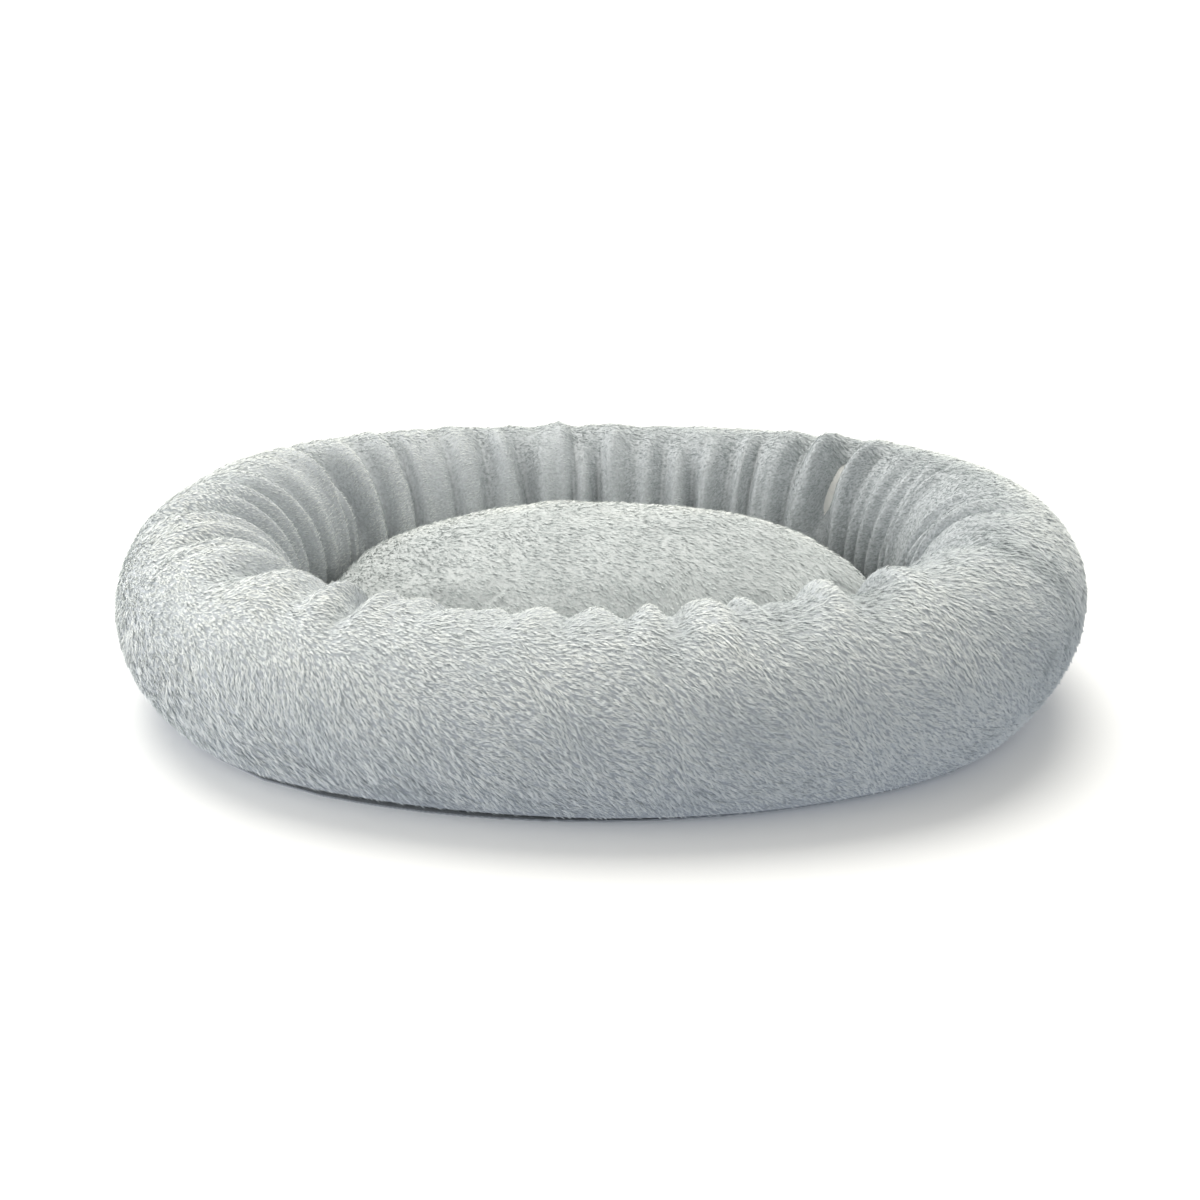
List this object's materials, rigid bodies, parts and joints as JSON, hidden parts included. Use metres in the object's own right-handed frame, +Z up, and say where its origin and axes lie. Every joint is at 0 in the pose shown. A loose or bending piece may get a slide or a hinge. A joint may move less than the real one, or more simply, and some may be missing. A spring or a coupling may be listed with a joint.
{
  "type": "pet cushion bed",
  "caption": "Oval plush pet bed: a stuffed ring rim on a sewn base with a domed loose cushion, both with zipped covers.",
  "frame": {"origin": "on the floor, under the middle of the bed", "axes": "+X along the bed's length, +Y across it to the back where the ring's zip is, +Z up"},
  "size_m": [0.9496, 0.74, 0.184],
  "materials": {
    "plush": "matte",
    "cushion_plush": "matte",
    "lining": "matte",
    "wadding": "matte",
    "base_cloth": "matte",
    "binding": "matte",
    "grip_rubber": "matte",
    "label": "satin",
    "zip_tape": "matte",
    "zip_coil": "satin",
    "zip_metal": "satin"
  },
  "bodies": {
    "ring": {"ring_cover": "plush", "ring_liner": "lining", "ring_fill": "wadding", "base_panel": "base_cloth", "seam_binding": "binding", "grip_dots": "grip_rubber", "gather_tape": "binding", "care_label": "label", "ring_zip_tape_upper": "zip_tape", "ring_zip_tape_lower": "zip_tape", "ring_zip_coil_upper": "zip_coil", "ring_zip_coil_lower": "zip_coil", "ring_zip_stops": "zip_metal"},
    "ring_zip_slider_body": {"ring_zip_slider": "zip_metal"},
    "ring_zip_pull_body": {"ring_zip_pull": "zip_metal"},
    "cushion": {"cushion_top_panel": "cushion_plush", "cushion_bottom_panel": "base_cloth", "cushion_liner": "lining", "cushion_fill": "wadding", "cushion_zip_tape_upper": "zip_tape", "cushion_zip_tape_lower": "zip_tape", "cushion_zip_coil_upper": "zip_coil", "cushion_zip_coil_lower": "zip_coil", "cushion_zip_stops": "zip_metal"},
    "cushion_zip_slider_body": {"cushion_zip_slider": "zip_metal"},
    "cushion_zip_pull_body": {"cushion_zip_pull": "zip_metal"}
  },
  "joints": [
    {"name": "cushion_lift", "type": "slide", "parent": "ring", "child": "cushion", "axis": [0, 0, 1], "range_m": [0, 0.25]},
    {"name": "ring_zip_travel", "type": "hinge", "parent": "ring", "child": "ring_zip_slider_body", "pos_m": [0, -0.28875, 0.042], "axis": [0, 0, 1], "range_deg": [0, 33.78]},
    {"name": "ring_zip_pull_flip", "type": "hinge", "parent": "ring_zip_slider_body", "child": "ring_zip_pull_body", "pos_m": [0.18936, 0.33474, 0.04656], "axis": [0.1228, 0.4044, 0.9063], "range_deg": [0, 180]},
    {"name": "cushion_zip_travel", "type": "hinge", "parent": "cushion", "child": "cushion_zip_slider_body", "pos_m": [0, -0.28875, 0.032], "axis": [0, 0, 1], "range_deg": [0, 32.94]},
    {"name": "cushion_zip_pull_flip", "type": "hinge", "parent": "cushion_zip_slider_body", "child": "cushion_zip_pull_body", "pos_m": [0.13041, 0.15217, 0.032], "axis": [0, 0, 1], "range_deg": [0, 180]}
  ]
}
